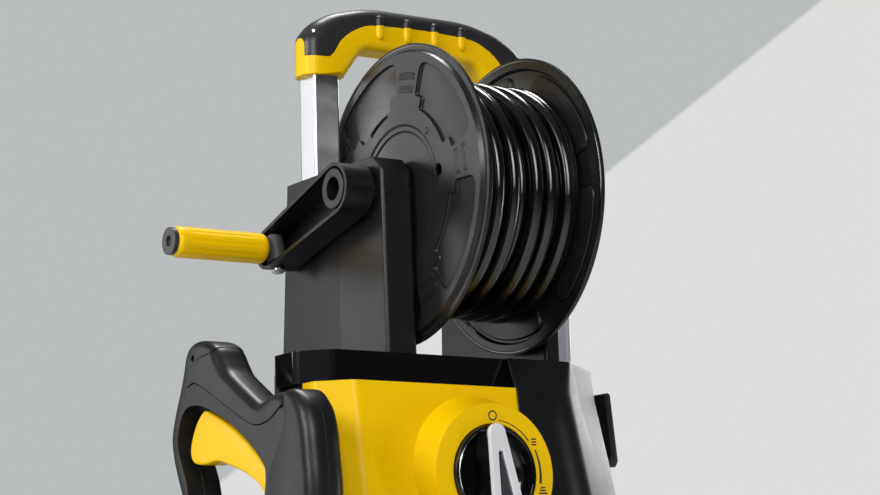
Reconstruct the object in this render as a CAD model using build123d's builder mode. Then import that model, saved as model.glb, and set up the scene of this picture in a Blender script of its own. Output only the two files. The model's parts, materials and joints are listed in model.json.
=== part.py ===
"""Upright pressure washer with a built-in hose reel, a telescopic handle and a stored spray gun.

Units are millimetres. +Z is up, -Y is the front, +X is the right-hand side as seen from the
front. The origin lies on the floor under the middle of the machine.
"""
import os
from math import cos, radians, sin, tan, pi

from build123d import *

# ---------------------------------------------------------------- driving dimensions
wall = 3.0               # moulded housing wall
seat_gap = 0.3           # clearance between pieces of different moving bodies
running_fit = 0.06       # radial clearance of a shaft in its bearing

# reel
reel_x, reel_y, reel_z = 6.5, -60.0, 690.0      # centre of the hose reel
flange_radius = 125.0
flange_thickness = 3.0
flange_spacing = 119.5   # over the outer faces of the two flanges
pocket_depth = 2.5       # pressed panels in the flanges
spoke_count = 5
spoke_half_angle = 9.5
first_spoke_angle = 80.0
drum_radius = 76.0
drum_wall = 3.0
axle_radius = 12.0
hose_diameter = 11.5
hose_turns = 9
hose_layers = 2

# body
body_half_width = 152.0
deck_top = 556.0
deck_thickness = 26.0
hood_bottom = 150.0
base_bottom = 16.0
front_top = -46.0        # front face of the hood at the deck, from the reel axis
front_bottom = -96.0     # front face of the hood at the base, from the reel axis
deck_front = -27.0
rear_top = 142.0
rear_bottom = 172.0
panel_split_x = 25.0     # vertical joint between the front cover and the right-hand panel

# columns and handle
column_top = 717.0
column_inner_left, column_outer_left = -56.0, -87.0
column_inner_right = 70.0
post_side = 25.0
post_wall = 2.0
post_spacing = 190.4
handle_x = 23.7          # middle of the handle
post_y = 91.5            # middle of the posts, behind the reel axis
post_bottom = 440.0
grip_depth = 34.0
grip_top_z = 869.0
handle_travel = 160.0

# crank
crank_hub_radius = 19.2
crank_radius = 113.6     # reel axis to the fold pin
crank_angle = -16.2      # below the horizontal, towards the rear
crank_inner_x, crank_rim_x = -90.0, -116.0
crank_pin_x = -107.0
crank_pin_radius = 3.0
crank_grip_radius = 13.0
crank_grip_end = -203.0

# gun
gun_outer_x, gun_inner_x = -199.5, -168.5
trigger_width = 20.0
trigger_travel = 8.0     # degrees

# dial
dial_x, dial_z = -19.5, 457.0
dial_face_radius = 55.5
dial_base_radius = 62.5
dial_face_y = -77.0
knob_radius = 38.5

# detergent bottle
bottle_x, bottle_y = 154.0, 38.0
bottle_width, bottle_depth = 32.0, 64.0
bottle_top = 702.0
bottle_neck_radius = 11.0
bottle_socket_radius = 11.5

# wheels
wheel_radius = 100.0
wheel_width = 40.0
wheel_inner_x = 122.0
wheel_y = 142.0
wheel_axle_radius = 6.0

os.makedirs("parts", exist_ok=True)


# ---------------------------------------------------------------- shared helpers
def front(distance):
    """World Y of a place that lies a distance behind the reel axis."""
    return reel_y + distance


def plan(level, points, radius, inwards=0.0):
    """Closed plan outline with rounded corners at a height, moved inwards by a wall if asked."""
    with BuildSketch(Plane.XY.offset(level)) as outline:
        with BuildLine():
            Polyline(*[(x, front(y)) for x, y in points], close=True)
        make_face()
        fillet(outline.vertices(), radius)
        if inwards:
            offset(amount=-inwards)
    return outline.sketch


def side_profile(x, points, radius=0.0):
    """Closed outline in a plane across the X axis; points are (Y, Z) from the reel axis."""
    with BuildSketch(Plane.YZ.offset(x)) as outline:
        with BuildLine():
            Polyline(*[(front(y), reel_z + z) for y, z in points], close=True)
        make_face()
        if radius:
            fillet(outline.vertices(), radius)
    return outline.sketch


def finish(builder, name):
    """Label a finished piece and write its STEP file."""
    builder.part.label = name
    export_step(builder.part, f"parts/{name}.step")


# ---------------------------------------------------------------- body outlines
w = body_half_width
hood_top_plan = [
    (-128, front_top), (-w, front_top + 24), (-w, 30), (-93, 128), (-93, rear_top),
    (138, rear_top), (w - 4, 118), (w - 6, 20), (70, front_top),
]
hood_bottom_plan = [
    (-120, front_bottom), (-w - 5, front_bottom + 40), (-w - 5, 12), (-112, 38),
    (-112, rear_bottom), (116, rear_bottom), (116, 38), (w + 5, 0), (122, front_bottom),
]
deck_plan = [
    (-134, deck_front), (-w - 4, deck_front + 24), (-w - 4, 28), (-94, 128), (-94, rear_top + 2),
    (140, rear_top + 2), (w - 1, 118), (w - 2, 24), (86, deck_front),
]
hood_top = deck_top - deck_thickness
corner = 10.0
left_post_x = handle_x - post_spacing / 2
right_post_x = handle_x + post_spacing / 2
post_places = [(left_post_x, front(post_y)), (right_post_x, front(post_y))]
post_hole = post_side + 2 * seat_gap

with BuildPart() as hood_solid:
    loft([plan(hood_bottom, hood_bottom_plan, corner), plan(hood_top, hood_top_plan, corner)])

with BuildPart() as hood_blank:
    add(hood_solid.part)
    loft([plan(hood_bottom, hood_bottom_plan, corner, wall),
          plan(hood_top, hood_top_plan, corner, wall)], mode=Mode.SUBTRACT)

# the right-hand panel rises in front of the deck
with BuildPart() as shoulder_blank:
    extrude(plan(hood_top, hood_top_plan, corner), amount=deck_thickness)
    extrude(plan(hood_top, deck_plan, corner), amount=deck_thickness, mode=Mode.SUBTRACT)

left_split = front(-8)      # joint between the front cover and the left-hand side
rear_split = front(48)      # joint between the side panels and the rear cover
tall = 600.0
wide = 500.0


def region(x_low, x_high, y_low, y_high, z_low=hood_bottom, height=tall):
    """A block that picks one panel out of a blank."""
    with BuildPart(Plane.XY.offset(z_low)) as block:
        with Locations(((x_low + x_high) / 2, (y_low + y_high) / 2)):
            Box(x_high - x_low, y_high - y_low, height, align=(Align.CENTER, Align.CENTER, Align.MIN))
    return block.part


def seen_from_front(points):
    """Block whose outline is seen from the front and which reaches back to the rear joint."""
    with BuildPart() as band:
        with BuildSketch(Plane.XZ.offset(-rear_split)):
            with BuildLine():
                Polyline(*points, close=True)
            make_face()
        extrude(amount=wide)
    return band.part


trim_left_edge = [(90, deck_top), (92, hood_top), (150, hood_bottom)]
trim_right_edge = [(170, hood_bottom), (116, hood_top), (108, deck_top)]
panel_left_edge = [(panel_split_x, hood_bottom), (panel_split_x, deck_top)]

# ---------------------------------------------------------------- housing panels
with BuildPart() as front_cover:
    add(hood_blank.part)
    add(region(-wide, panel_split_x, -wide, left_split), mode=Mode.INTERSECT)
    with BuildSketch(Plane.XZ.offset(-front(dial_face_y + 6))):
        with Locations((dial_x, dial_z)):
            Circle(dial_face_radius - 4)
    extrude(amount=-80, mode=Mode.SUBTRACT)
finish(front_cover, "front_cover")

with BuildPart() as right_panel:
    add(hood_blank.part)
    add(shoulder_blank.part)
    add(seen_from_front(panel_left_edge + trim_left_edge), mode=Mode.INTERSECT)
    with BuildSketch(Plane.XZ.offset(-front(dial_face_y + 6))):
        with Locations((dial_x, dial_z)):
            Circle(dial_face_radius - 4)
    extrude(amount=-80, mode=Mode.SUBTRACT)
finish(right_panel, "right_panel")

with BuildPart() as trim_right:
    add(hood_blank.part)
    add(seen_from_front(trim_left_edge + trim_right_edge), mode=Mode.INTERSECT)
finish(trim_right, "trim_right")

with BuildPart() as side_panel_right:
    add(hood_blank.part)
    add(seen_from_front([(170, hood_bottom), (116, hood_top), (wide, hood_top), (wide, hood_bottom)]),
        mode=Mode.INTERSECT)
finish(side_panel_right, "side_panel_right")

with BuildPart() as side_panel_left:
    add(hood_blank.part)
    add(region(-wide, 0, left_split, rear_split), mode=Mode.INTERSECT)
finish(side_panel_left, "side_panel_left")

with BuildPart() as rear_cover:
    add(hood_blank.part)
    add(region(-wide, wide, rear_split, wide), mode=Mode.INTERSECT)
finish(rear_cover, "rear_cover")

with BuildPart() as top_deck:
    extrude(plan(hood_top, deck_plan, corner), amount=deck_thickness)
    extrude(plan(hood_top, deck_plan, corner, wall), amount=deck_thickness - wall,
            mode=Mode.SUBTRACT)
    with Locations(*[(x, y, deck_top) for x, y in post_places]):
        Box(post_hole, post_hole, 3 * wall, mode=Mode.SUBTRACT)
    with Locations((bottle_x, bottle_y, deck_top)):
        Cylinder(bottle_socket_radius, 60, mode=Mode.SUBTRACT)
finish(top_deck, "top_deck")

# ---------------------------------------------------------------- base and wheels
base_foot_plan = [
    (-112, -114), (-w + 2, -72), (-w + 2, 12), (-112, 38), (-112, 162), (112, 162), (112, 38),
    (w - 2, 0), (114, -114),
]
wheel_place_y = front(wheel_y)
foot_places = [(-92, front(-84)), (92, front(-84))]
foot_radius = 15.0
axle_half_length = wheel_inner_x + wheel_width + 4

with BuildPart() as base:
    loft([plan(base_bottom, base_foot_plan, corner), plan(hood_bottom, hood_bottom_plan, corner)])
    loft([plan(base_bottom + 2 * wall, base_foot_plan, corner, 2 * wall),
          plan(hood_bottom, hood_bottom_plan, corner, wall)], mode=Mode.SUBTRACT)
    with BuildSketch(Plane.YZ.offset(-130)):
        with Locations((wheel_place_y, wheel_radius)):
            Circle(wheel_axle_radius)
    extrude(amount=260, mode=Mode.SUBTRACT)
finish(base, "base")

with BuildPart() as feet:
    with BuildSketch(Plane.XY):
        with Locations(*foot_places):
            Circle(foot_radius)
    extrude(amount=base_bottom, taper=-6)
finish(feet, "feet")

with BuildPart() as wheel_axle:
    with BuildSketch(Plane.YZ.offset(-axle_half_length)):
        with Locations((wheel_place_y, wheel_radius)):
            Circle(wheel_axle_radius)
    extrude(amount=2 * axle_half_length)
finish(wheel_axle, "wheel_axle")

tyre_depth = 12.0
hub_radius = 17.0
wheel_axis = Axis((0, wheel_place_y, wheel_radius), (1, 0, 0))
for side, start in (("left", -wheel_inner_x - wheel_width), ("right", wheel_inner_x)):
    rim_radius = wheel_radius - tyre_depth
    with BuildPart() as wheel:
        with BuildSketch(Plane.YZ.offset(start + 2)):
            with Locations((wheel_place_y, wheel_radius)):
                Circle(rim_radius)
        extrude(amount=wheel_width - 4)
        for face_x, depth in ((start + 2, 13), (start + wheel_width - 2, -13)):
            with BuildSketch(Plane.YZ.offset(face_x)):
                with Locations((wheel_place_y, wheel_radius)):
                    Circle(rim_radius - 6)
                    Circle(hub_radius, mode=Mode.SUBTRACT)
            extrude(amount=depth, mode=Mode.SUBTRACT)
        with BuildSketch(Plane.YZ.offset(start)):
            with Locations((wheel_place_y, wheel_radius)):
                with PolarLocations(51, 8):
                    Circle(12)
        extrude(amount=wheel_width, mode=Mode.SUBTRACT)
        with BuildSketch(Plane.YZ.offset(start)):
            with Locations((wheel_place_y, wheel_radius)):
                Circle(wheel_axle_radius + running_fit)
        extrude(amount=wheel_width, mode=Mode.SUBTRACT)
    finish(wheel, f"wheel_{side}")
    with BuildPart() as tyre:
        with BuildSketch(Plane.XZ.offset(-wheel_place_y)):
            with Locations((start + wheel_width / 2, 2 * wheel_radius - tyre_depth / 2)):
                RectangleRounded(wheel_width, tyre_depth, 4)
        revolve(axis=wheel_axis)
    finish(tyre, f"tyre_{side}")

with BuildPart() as wheel_caps:
    for outward, plane_x in ((1, wheel_inner_x + wheel_width), (-1, -wheel_inner_x - wheel_width)):
        with BuildSketch(Plane.YZ.offset(plane_x)):
            with Locations((wheel_place_y, wheel_radius)):
                Circle(hub_radius - 3)
                Circle(wheel_axle_radius, mode=Mode.SUBTRACT)
        extrude(amount=outward * 3.5)
finish(wheel_caps, "wheel_caps")

# ---------------------------------------------------------------- columns and bearings
bearing_bore = axle_radius + running_fit
cap_front, cap_back = -30.0, 26.0
cap_chamfer = 12.0
column_plans = {
    "left": ([(column_outer_left + 3, -27), (column_inner_left, -27), (column_inner_left, 138),
              (column_outer_left + 1, 138), (column_outer_left - 1, 38)],
             [(column_outer_left + 3, -23), (column_inner_left, -23), (column_inner_left, 125),
              (column_outer_left + 1, 125), (column_outer_left - 1, 38)]),
    "right": ([(column_inner_right, -27), (84, -27), (135, 44), (135, 130), (column_inner_right, 130)],
              [(column_inner_right, -23), (84, -23), (135, 48), (135, 125), (column_inner_right, 125)]),
}
reel_axis = Axis((0, reel_y, reel_z), (1, 0, 0))
bore_span = {"left": (column_outer_left - 5, column_inner_left + 5), "right": (60.0, 84.0)}
for side, (foot_plan, head_plan) in column_plans.items():
    post_x = left_post_x if side == "left" else right_post_x
    with BuildPart() as column_blank:
        loft([plan(deck_top, foot_plan, 3), plan(column_top, head_plan, 3)])
        with Locations((post_x, front(post_y), deck_top)):
            Box(post_hole, post_hole, tall, mode=Mode.SUBTRACT)
        with Locations((post_x, front(30), deck_top)):
            Box(24, 76, 90, align=(Align.CENTER, Align.CENTER, Align.MIN), mode=Mode.SUBTRACT)
        bore_low, bore_high = bore_span[side]
        with BuildSketch(Plane.YZ.offset(bore_low)):
            with Locations((reel_y, reel_z)):
                Circle(bearing_bore)
        extrude(amount=bore_high - bore_low, mode=Mode.SUBTRACT)
    cap_region = region(-wide, wide, front(cap_front), front(cap_back), reel_z)
    with BuildPart() as column:
        add(column_blank.part)
        add(cap_region, mode=Mode.SUBTRACT)
    finish(column, f"column_{side}")
    with BuildPart() as bearing_cap:
        add(column_blank.part)
        add(cap_region, mode=Mode.INTERSECT)
        with BuildSketch(Plane.YZ.offset(-wide)):
            with BuildLine():
                Polyline((front(cap_front), column_top), (front(-23 + cap_chamfer), column_top),
                         (front(cap_front), column_top - cap_chamfer - 7), close=True)
            make_face()
        extrude(amount=2 * wide, mode=Mode.SUBTRACT)
    finish(bearing_cap, f"bearing_cap_{side}")

# ---------------------------------------------------------------- reel
flange_left_x = reel_x - flange_spacing / 2
flange_right_x = reel_x + flange_spacing / 2
pocket_inner, pocket_outer = 0.56 * flange_radius, 0.895 * flange_radius
rim_inner = 0.94 * flange_radius
rim_step = 3.5
dish_radius = 0.45 * flange_radius
dish_step = 2.0


def pocket(x, grow=0.0):
    """One pressed pocket of a flange, between two spokes, as a sketch across the axis."""
    half = spoke_half_angle
    pitch = 360 / spoke_count
    inner, outer = pocket_inner - grow, pocket_outer + grow
    centre = (reel_y, reel_z)
    with BuildSketch(Plane.YZ.offset(x)) as outline:
        for number in range(spoke_count):
            start = 180 - first_spoke_angle + number * pitch + half
            with BuildLine():
                low = CenterArc(centre, inner, start, pitch - 2 * half)
                high = CenterArc(centre, outer, start, pitch - 2 * half)
                Line(low @ 0, high @ 0)
                Line(low @ 1, high @ 1)
            make_face()
    return outline.sketch


for side, face_x, inward in (("left", flange_left_x, 1), ("right", flange_right_x, -1)):
    def at(depth, radius):
        """A point of the flange's section, in the plane through the reel's axis."""
        return (face_x + inward * depth, reel_z + radius)

    with BuildPart() as flange:
        with BuildSketch(Plane.XZ.offset(-reel_y)):
            with BuildLine():
                Polyline(
                    at(dish_step, axle_radius), at(dish_step, dish_radius), at(0, dish_radius + 3),
                    at(0, rim_inner), at(rim_step, rim_inner + 2), at(rim_step, flange_radius),
                    at(rim_step + flange_thickness, flange_radius),
                    at(rim_step + flange_thickness, rim_inner - 1), at(flange_thickness, rim_inner - 3),
                    at(flange_thickness, dish_radius + 1), at(dish_step + flange_thickness, dish_radius - 2),
                    at(dish_step + flange_thickness, axle_radius), close=True)
            make_face()
        revolve(axis=reel_axis)
        extrude(pocket(face_x + inward * flange_thickness), amount=inward * pocket_depth)
        extrude(pocket(face_x), amount=inward * pocket_depth, mode=Mode.SUBTRACT)
    finish(flange, f"flange_{side}")

drum_left = flange_left_x + flange_thickness
drum_length = flange_spacing - 2 * flange_thickness
with BuildPart() as drum:
    with BuildSketch(Plane.YZ.offset(drum_left + pocket_depth)):
        with Locations((reel_y, reel_z)):
            Circle(drum_radius)
            Circle(drum_radius - drum_wall, mode=Mode.SUBTRACT)
    extrude(amount=drum_length - 2 * pocket_depth)
finish(drum, "drum")

axle_left, axle_right = -98.0, 83.0
with BuildPart() as axle:
    with BuildSketch(Plane.YZ.offset(axle_left)):
        with Locations((reel_y, reel_z)):
            Circle(axle_radius)
    extrude(amount=axle_right - axle_left)
finish(axle, "reel_axle")

winding_width = hose_turns * hose_diameter
hose_radius = hose_diameter / 2
top_row = drum_radius + hose_radius + (hose_layers - 1) * hose_diameter * 0.87
winding_left = reel_x - winding_width / 2
with BuildPart() as hose:
    with BuildSketch(Plane.XZ.offset(-reel_y)):
        with BuildLine():
            Line((winding_left, reel_z + top_row), (winding_left, reel_z + drum_radius))
            Line((winding_left, reel_z + drum_radius),
                 (winding_left + winding_width, reel_z + drum_radius))
            Line((winding_left + winding_width, reel_z + drum_radius),
                 (winding_left + winding_width, reel_z + top_row))
            for turn in range(hose_turns):
                start = winding_left + turn * hose_diameter
                ThreePointArc((start, reel_z + top_row),
                              (start + hose_radius, reel_z + top_row + hose_radius),
                              (start + hose_diameter, reel_z + top_row))
        make_face()
    revolve(axis=reel_axis)
finish(hose, "hose_winding")

# ---------------------------------------------------------------- crank
arm_y = front(crank_radius * cos(radians(crank_angle)))
arm_z = reel_z + crank_radius * sin(radians(crank_angle))
arm_wall = 3.0
arm_floor = 3.0
arm_end_radius = 17.0
channel_depth = crank_inner_x - arm_floor - crank_rim_x
fold_axis = Plane(origin=(crank_pin_x, arm_y, arm_z),
                  z_dir=(0, -sin(radians(crank_angle)), cos(radians(crank_angle))))


def arm_outline(x, inwards=0.0):
    """The crank arm's outline across the axis, from the hub to the fold pin."""
    with BuildSketch(Plane.YZ.offset(x)) as outline:
        with Locations((reel_y, reel_z)):
            Circle(crank_hub_radius + 2 - inwards)
        with Locations((arm_y, arm_z)):
            Circle(arm_end_radius - inwards)
        make_hull()
    return outline.sketch


with BuildPart() as crank_arm:
    extrude(arm_outline(crank_rim_x), amount=crank_inner_x - crank_rim_x)
    extrude(arm_outline(crank_rim_x, arm_wall), amount=channel_depth, mode=Mode.SUBTRACT)
    with BuildSketch(Plane.YZ.offset(crank_rim_x)):
        with Locations((reel_y, reel_z)):
            Circle(crank_hub_radius - 3)
    extrude(amount=crank_inner_x - crank_rim_x)
    with BuildSketch(Plane.YZ.offset(crank_rim_x)):
        with Locations((reel_y, reel_z)):
            Circle(9.6)
    extrude(amount=channel_depth - 8, mode=Mode.SUBTRACT)
    with BuildSketch(Plane.YZ.offset(axle_left)):
        with Locations((reel_y, reel_z)):
            Circle(axle_radius)
    extrude(amount=30, mode=Mode.SUBTRACT)
    with BuildSketch(fold_axis):
        Circle(crank_pin_radius)
    extrude(amount=30, both=True, mode=Mode.SUBTRACT)
finish(crank_arm, "crank_arm")

with BuildPart() as crank_pin:
    with BuildSketch(fold_axis.offset(-arm_end_radius - 1)):
        Circle(crank_pin_radius)
    extrude(amount=2 * arm_end_radius + 2)
    for outward, place in ((1, arm_end_radius), (-1, -arm_end_radius)):
        with BuildSketch(fold_axis.offset(place + outward * 0.6)):
            Circle(crank_pin_radius + 2.5)
        extrude(amount=outward * 2.5)
finish(crank_pin, "crank_pin")

knuckle_half = arm_end_radius - arm_wall - 3
knuckle_radius = 8.0
spindle_radius = 4.0
grip_start = -118.5
with BuildPart() as crank_spindle:
    with BuildSketch(fold_axis.offset(-knuckle_half)):
        Circle(knuckle_radius)
    extrude(amount=2 * knuckle_half)
    with BuildSketch(Plane.YZ.offset(crank_pin_x)):
        with Locations((arm_y, arm_z)):
            Circle(spindle_radius)
    extrude(amount=crank_grip_end + 6 - crank_pin_x)
    with BuildSketch(fold_axis.offset(-knuckle_half)):
        Circle(crank_pin_radius + running_fit)
    extrude(amount=2 * knuckle_half, mode=Mode.SUBTRACT)
finish(crank_spindle, "crank_spindle")

with BuildPart() as crank_grip:
    with BuildSketch(Plane.YZ.offset(crank_grip_end)):
        with Locations((arm_y, arm_z)):
            Circle(crank_grip_radius)
            with PolarLocations(crank_grip_radius + 0.6, 12):
                Circle(1.4, mode=Mode.SUBTRACT)
            Circle(spindle_radius + running_fit, mode=Mode.SUBTRACT)
    extrude(amount=grip_start - crank_grip_end)
finish(crank_grip, "crank_grip")

with BuildPart() as crank_cap:
    with BuildSketch(Plane.YZ.offset(crank_grip_end - 4)):
        with Locations((arm_y, arm_z)):
            Circle(crank_grip_radius - 1.5)
    extrude(amount=4)
    with BuildSketch(Plane.YZ.offset(crank_grip_end - 4)):
        with Locations((arm_y, arm_z)):
            Circle(4.5)
    extrude(amount=2.5, mode=Mode.SUBTRACT)
finish(crank_cap, "crank_cap")

# ---------------------------------------------------------------- handle
post_top = grip_top_z - 24
for side, post_x in (("left", left_post_x), ("right", right_post_x)):
    with BuildPart() as post:
        with BuildSketch(Plane.XY.offset(post_bottom)):
            with Locations((post_x, front(post_y))):
                RectangleRounded(post_side, post_side, 2.5)
                RectangleRounded(post_side - 2 * post_wall, post_side - 2 * post_wall, 0.8,
                                 mode=Mode.SUBTRACT)
        extrude(amount=post_top - post_bottom)
    finish(post, f"post_{side}")

outer_half = [(127, -48), (126, -35), (119, -27), (108.6, -21), (99, -14.5), (88.5, -9.6), (78.8, -5.8),
              (69, -3), (38.5, 0)]
inner_half = [(80.8, -53), (73, -47), (70.5, -36), (66, -28), (57, -22.5), (45, -20.5)]
seam_half = [(127.5, -48), (116, -45.5), (90, -43.5), (85, -38), (80, -30), (70, -20), (60, -14.5),
             (47.5, -12), (20, -9.8)]


def mirrored(points):
    """A left-hand run of (half width, height below the top) and its right-hand mirror image."""
    left = [(handle_x - x, grip_top_z + z) for x, z in points]
    right = [(handle_x + x, grip_top_z + z) for x, z in reversed(points)]
    return left, right


grip_plane = Plane.XZ.offset(-front(post_y + grip_depth / 2))
with BuildPart() as grip_blank:
    outer_left, outer_right = mirrored(outer_half)
    inner_left, inner_right = mirrored(inner_half)
    with BuildSketch(grip_plane):
        with BuildLine():
            Spline(*outer_left, *outer_right)
            Line(outer_left[0], (handle_x - 125, grip_top_z - 53))
            Line((handle_x - 125, grip_top_z - 53), inner_left[0])
            Spline(*inner_left, *inner_right)
            Line(inner_right[-1], (handle_x + 125, grip_top_z - 53))
            Line((handle_x + 125, grip_top_z - 53), outer_right[-1])
        make_face()
    extrude(amount=grip_depth)
    for post_x, post_y_place in post_places:
        with Locations((post_x, post_y_place, post_top)):
            Box(post_side, post_side, 200, align=(Align.CENTER, Align.CENTER, Align.MAX),
                mode=Mode.SUBTRACT)

with BuildPart() as above_seam:
    seam_left, seam_right = mirrored(seam_half)
    with BuildSketch(grip_plane.offset(-10)):
        with BuildLine():
            Polyline(*seam_left, *seam_right, (handle_x + 140, grip_top_z + 10),
                     (handle_x - 140, grip_top_z + 10), close=True)
        make_face()
    extrude(amount=grip_depth + 20)

with BuildPart() as grip_top:
    add(grip_blank.part)
    add(above_seam.part, mode=Mode.INTERSECT)
finish(grip_top, "grip_top")

with BuildPart() as grip_lower:
    add(grip_blank.part)
    add(above_seam.part, mode=Mode.SUBTRACT)
finish(grip_lower, "grip_lower")

# ---------------------------------------------------------------- spray gun
gun_outline = [
    (-70, -300), (-70, -186), (-63, -175), (-52, -172), (-28, -155.5), (6, -136), (20, -128.5),
    (62, -123), (80, -125), (92, -135), (104, -162), (118, -190), (118, -206), (110, -238), (94, -272),
    (62, -304), (20, -318), (-24, -318), (-24, -330), (-70, -330),
]
gun_loop = [
    (-26, -224), (74, -172), (86, -171), (95, -180), (101, -196), (101, -218), (93, -244), (78, -268),
    (52, -290), (16, -302), (-24, -302),
]
soft_outline = [
    (90, -146), (86, -134), (78, -127), (62, -122), (20, -127.5), (6, -135), (-28, -154.5), (-44, -166),
    (-38, -180), (-26, -184), (-12, -182), (40, -154), (70, -143), (82, -143),
]
trigger_outline = [
    (-40, -262), (-24, -258), (-8, -238), (14, -230), (52, -219), (88, -216), (90, -209), (86, -196),
    (80, -184), (74, -177), (-22, -227.5), (-28, -232), (-46, -248), (-48, -256),
]
trigger_pin_y, trigger_pin_z = front(-38), reel_z - 253
gun_middle = (gun_outer_x + gun_inner_x) / 2
gun_width = gun_inner_x - gun_outer_x

with BuildPart() as gun_blank:
    extrude(side_profile(gun_outer_x, gun_outline, 5), amount=gun_width)
    extrude(side_profile(gun_outer_x, gun_loop, 5), amount=gun_width, mode=Mode.SUBTRACT)
    extrude(side_profile(gun_outer_x, soft_outline, 3), amount=gun_width, mode=Mode.SUBTRACT)
    # slot that takes the trigger
    extrude(side_profile(gun_middle - trigger_width / 2 - seat_gap,
                         [(-58, -270), (-58, -236), (-30, -212), (70, -158), (104, -170), (96, -200),
                          (0, -270)]),
            amount=trigger_width + 2 * seat_gap, mode=Mode.SUBTRACT)
    with BuildSketch(Plane.YZ.offset(gun_outer_x + 2)):
        with Locations((trigger_pin_y, trigger_pin_z)):
            Circle(3)
    extrude(amount=gun_width - 4, mode=Mode.SUBTRACT)

for side, low, high in (("left", gun_outer_x, gun_middle), ("right", gun_middle, gun_inner_x)):
    with BuildPart() as gun_half:
        add(gun_blank.part)
        add(region(low, high, -wide, wide, 0, 2 * tall), mode=Mode.INTERSECT)
    finish(gun_half, f"gun_shell_{side}")

with BuildPart() as soft_grip:
    extrude(side_profile(gun_outer_x - 0.8, soft_outline, 3), amount=gun_width + 1.6)
finish(soft_grip, "gun_soft_grip")

with BuildPart() as trigger:
    extrude(side_profile(gun_middle - trigger_width / 2, trigger_outline, 1.5), amount=trigger_width)
    with BuildSketch(Plane.YZ.offset(gun_middle - trigger_width / 2)):
        with Locations((trigger_pin_y, trigger_pin_z)):
            Circle(3 + running_fit)
    extrude(amount=trigger_width, mode=Mode.SUBTRACT)
finish(trigger, "trigger")

with BuildPart() as trigger_pin:
    with BuildSketch(Plane.YZ.offset(gun_outer_x + 2)):
        with Locations((trigger_pin_y, trigger_pin_z)):
            Circle(3)
    extrude(amount=gun_width - 4)
finish(trigger_pin, "trigger_pin")

nose_y = front(-47)
nose_radius = 14.0
nose_top, nose_bottom = reel_z - 330, reel_z - 372
with BuildPart() as gun_nose:
    with BuildSketch(Plane.XY.offset(nose_bottom)):
        with Locations((gun_middle, nose_y)):
            Circle(nose_radius)
            Circle(9, mode=Mode.SUBTRACT)
    extrude(amount=nose_top - nose_bottom - 12)
    with BuildSketch(Plane.XY.offset(nose_top - 12)):
        with Locations((gun_middle, nose_y)):
            Circle(nose_radius)
    extrude(amount=12)
finish(gun_nose, "gun_nose")

holster_top = nose_top - seat_gap
with BuildPart() as holster:
    with BuildSketch(Plane.XY.offset(holster_top - 26)):
        with Locations((-175, nose_y)):
            RectangleRounded(58, 44, 8)
        with Locations((gun_middle, nose_y)):
            Circle(nose_radius + 1, mode=Mode.SUBTRACT)
    extrude(amount=26)
    add(hood_solid.part, mode=Mode.SUBTRACT)
finish(holster, "gun_holster")

# ---------------------------------------------------------------- dial
dial_axis = Axis((dial_x, 0, dial_z), (0, 1, 0))
face_y = front(dial_face_y)
knob_gap = 0.8
with BuildPart() as dial_boss:
    with BuildSketch(Plane.YZ.offset(dial_x)):
        with BuildLine():
            Polyline((face_y, dial_z + knob_radius + knob_gap), (face_y, dial_z + dial_face_radius),
                     (front(-40), dial_z + dial_base_radius + 4),
                     (front(-40), dial_z + knob_radius + knob_gap), close=True)
        make_face()
    revolve(axis=dial_axis)
    add(hood_solid.part, mode=Mode.SUBTRACT)
    with BuildSketch(Plane.XZ.offset(-face_y)):
        with Locations((dial_x, dial_z)):
            Circle(dial_face_radius - 4)
            Circle(knob_radius + knob_gap, mode=Mode.SUBTRACT)
    extrude(amount=face_y - front(-42))
    with BuildSketch(Plane.XZ.offset(-front(-48))):
        with Locations((dial_x, dial_z)):
            Circle(dial_face_radius - 4)
            Circle(5 + running_fit, mode=Mode.SUBTRACT)
    extrude(amount=-6)
finish(dial_boss, "dial_boss")

knob_front = face_y - 3
bar_half = 12.0
with BuildPart() as knob:
    with BuildSketch(Plane.XZ.offset(-knob_front)):
        with Locations((dial_x, dial_z)):
            Circle(knob_radius)
    extrude(amount=-(front(-48) - 0.5 - knob_front))
    with BuildSketch(Plane.XZ.offset(-knob_front)):
        with Locations((dial_x, dial_z)):
            Circle(knob_radius - 4)
            Rectangle(2 * bar_half, 2 * knob_radius, mode=Mode.SUBTRACT)
    extrude(amount=-16, mode=Mode.SUBTRACT)
    with BuildSketch(Plane.XZ.offset(-front(-50))):
        with Locations((dial_x, dial_z)):
            Circle(5)
    extrude(amount=-26)
finish(knob, "dial_knob")

with BuildPart() as pointer:
    with BuildSketch(Plane.XZ.offset(-knob_front)):
        with BuildLine():
            Polyline((dial_x - 7.5, dial_z + 34), (dial_x + 7.5, dial_z + 34), (dial_x + 11.5, dial_z - 34),
                     (dial_x - 11.5, dial_z - 34), close=True)
        make_face()
    extrude(amount=4)
finish(pointer, "dial_pointer")

# ---------------------------------------------------------------- bottle and its holder
bottle_bottom = deck_top + seat_gap
with BuildPart() as bottle_holder:
    with BuildSketch(Plane.XY.offset(deck_top - 30)):
        with Locations((bottle_x - 1, bottle_y)):
            RectangleRounded(bottle_width + 6, bottle_depth + 6, 8)
    extrude(amount=30)
    extrude(plan(0, deck_plan, corner), amount=deck_top, mode=Mode.SUBTRACT)
    add(hood_solid.part, mode=Mode.SUBTRACT)
    with Locations((bottle_x, bottle_y, deck_top)):
        Cylinder(bottle_socket_radius, 60, mode=Mode.SUBTRACT)
finish(bottle_holder, "bottle_holder")

with BuildPart() as bottle:
    with BuildSketch(Plane.XY.offset(bottle_bottom)):
        with Locations((bottle_x, bottle_y)):
            RectangleRounded(bottle_width, bottle_depth, 10)
    extrude(amount=bottle_top - bottle_bottom)
    fillet(bottle.edges().group_by(Axis.Z)[-1], 6)
    with BuildSketch(Plane.XY.offset(bottle_bottom)):
        with Locations((bottle_x, bottle_y)):
            Circle(bottle_neck_radius)
    extrude(amount=-20)
finish(bottle, "detergent_bottle")

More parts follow.
